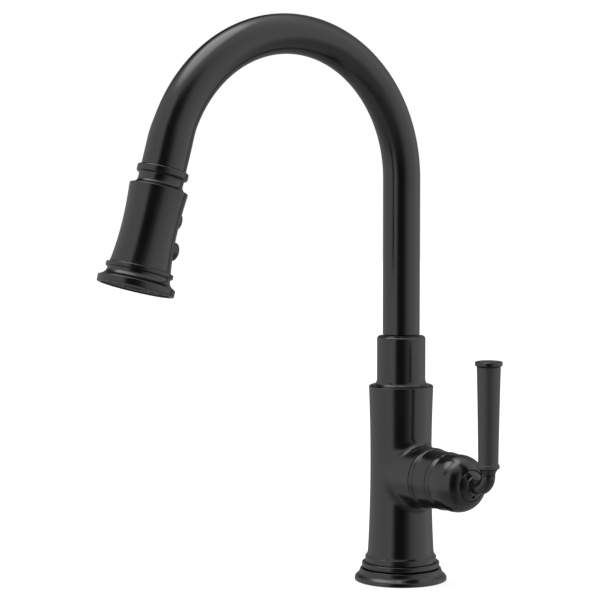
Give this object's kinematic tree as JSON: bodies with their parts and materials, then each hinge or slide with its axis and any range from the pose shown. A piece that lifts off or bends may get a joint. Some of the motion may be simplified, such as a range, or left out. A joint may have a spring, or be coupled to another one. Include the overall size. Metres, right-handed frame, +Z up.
{
  "type": "pull-down kitchen faucet",
  "caption": "Traditional pull-down kitchen faucet with an arched swivel spout, a docked two-mode spray head and a single side lever.",
  "frame": {"origin": "centre of the deck hole, on the deck's top face", "axes": "+Z up along the body, the spout reaches along -Y towards the user, the lever stands on the +X side"},
  "size_m": [0.1448, 0.2992, 0.4905],
  "materials": {
    "matte_black": "satin",
    "brass": "satin",
    "steel": "satin",
    "rubber": "matte",
    "white_plastic": "matte",
    "black_plastic": "matte",
    "disc_ceramic": "satin",
    "hose_braid": "satin",
    "face_rubber": "matte"
  },
  "bodies": {
    "root": {"deck_gasket": "rubber", "base_flange": "matte_black", "bead_ring": "matte_black", "threaded_shank": "brass", "deck_seal_washer": "rubber", "mounting_washer": "steel", "mounting_nut": "brass", "thrust_screw_front": "steel", "thrust_screw_rear": "steel", "body_shell": "matte_black", "trim_band": "matte_black", "bonnet_dome": "matte_black", "valve_block": "brass", "cartridge_seal": "rubber", "cartridge_housing": "white_plastic", "fixed_disc": "disc_ceramic", "retaining_nut": "brass"},
    "carrier": {"cartridge_carrier": "black_plastic", "pivot_pin": "steel"},
    "flow_disc": {"sliding_disc": "disc_ceramic"},
    "lever": {"lever_elbow": "matte_black", "valve_stem": "brass", "lever_set_screw": "steel", "lever_grip": "matte_black", "lever_end_cap": "matte_black"},
    "spout": {"spout_tube": "matte_black", "spout_hub": "brass", "glide_ring_lower": "white_plastic", "glide_ring_upper": "white_plastic", "hub_seal_lower": "rubber", "hub_seal_upper": "rubber", "hub_circlip": "steel", "spout_collar": "matte_black", "dock_collar": "matte_black", "dock_liner": "white_plastic", "dock_magnet": "steel", "spray_hose": "hose_braid"},
    "hose_end": {"hose_nut": "brass", "hose_nut_seal": "rubber", "check_valve": "white_plastic"},
    "wand": {"spray_shell": "matte_black", "catch_ring": "steel", "head_inlet": "brass", "diverter_block": "black_plastic", "rocker_pin": "steel", "face_ring": "matte_black", "jet_guide": "white_plastic", "nozzle_face": "face_rubber", "aerator": "black_plastic"},
    "rocker": {"diverter_rocker": "steel"},
    "lower_key": {"lower_button": "matte_black"},
    "upper_key": {"upper_button": "matte_black"}
  },
  "joints": [
    {"name": "spout_swivel", "type": "hinge", "parent": "root", "child": "spout", "pos_m": [0, 0, 0.1485], "axis": [0, 0, 1], "range_deg": [-180, 180]},
    {"name": "spray_pull", "type": "slide", "parent": "spout", "child": "hose_end", "axis": [0, -0.279, -0.9603], "range_m": [0, 0.2], "deforming": ["spray_hose"]},
    {"name": "spray_turn", "type": "hinge", "parent": "hose_end", "child": "wand", "pos_m": [0, -0.20838, 0.33436], "axis": [0, -0.279, -0.9603], "continuous": true},
    {"name": "handle_temperature", "type": "hinge", "parent": "root", "child": "carrier", "pos_m": [0.071, 0, 0.082], "axis": [1, 0, 0], "range_deg": [-45, 45]},
    {"name": "handle_flow", "type": "hinge", "parent": "carrier", "child": "lever", "pos_m": [0.071, 0, 0.082], "axis": [0, 1, 0], "range_deg": [0, 20]},
    {"name": "disc_slide", "type": "slide", "parent": "carrier", "child": "flow_disc", "axis": [0, 0, 1], "range_m": [0, 0.0042]},
    {"name": "lower_button_press", "type": "slide", "parent": "wand", "child": "lower_key", "axis": [0, 0.9603, -0.279], "range_m": [-0.0029, 0]},
    {"name": "upper_button_press", "type": "slide", "parent": "wand", "child": "upper_key", "axis": [0, 0.9603, -0.279], "range_m": [0, 0.0029]},
    {"name": "rocker_tilt", "type": "hinge", "parent": "wand", "child": "rocker", "pos_m": [0, -0.2222, 0.27245], "axis": [1, 0, 0], "range_deg": [-15.9, 0]}
  ],
  "couplings": [
    {"joint": "disc_slide", "follows": "handle_flow", "m_per_rad": 0.0115},
    {"joint": "upper_button_press", "follows": "lower_button_press", "ratio": -1},
    {"joint": "rocker_tilt", "follows": "lower_button_press", "rad_per_m": 95.238}
  ]
}
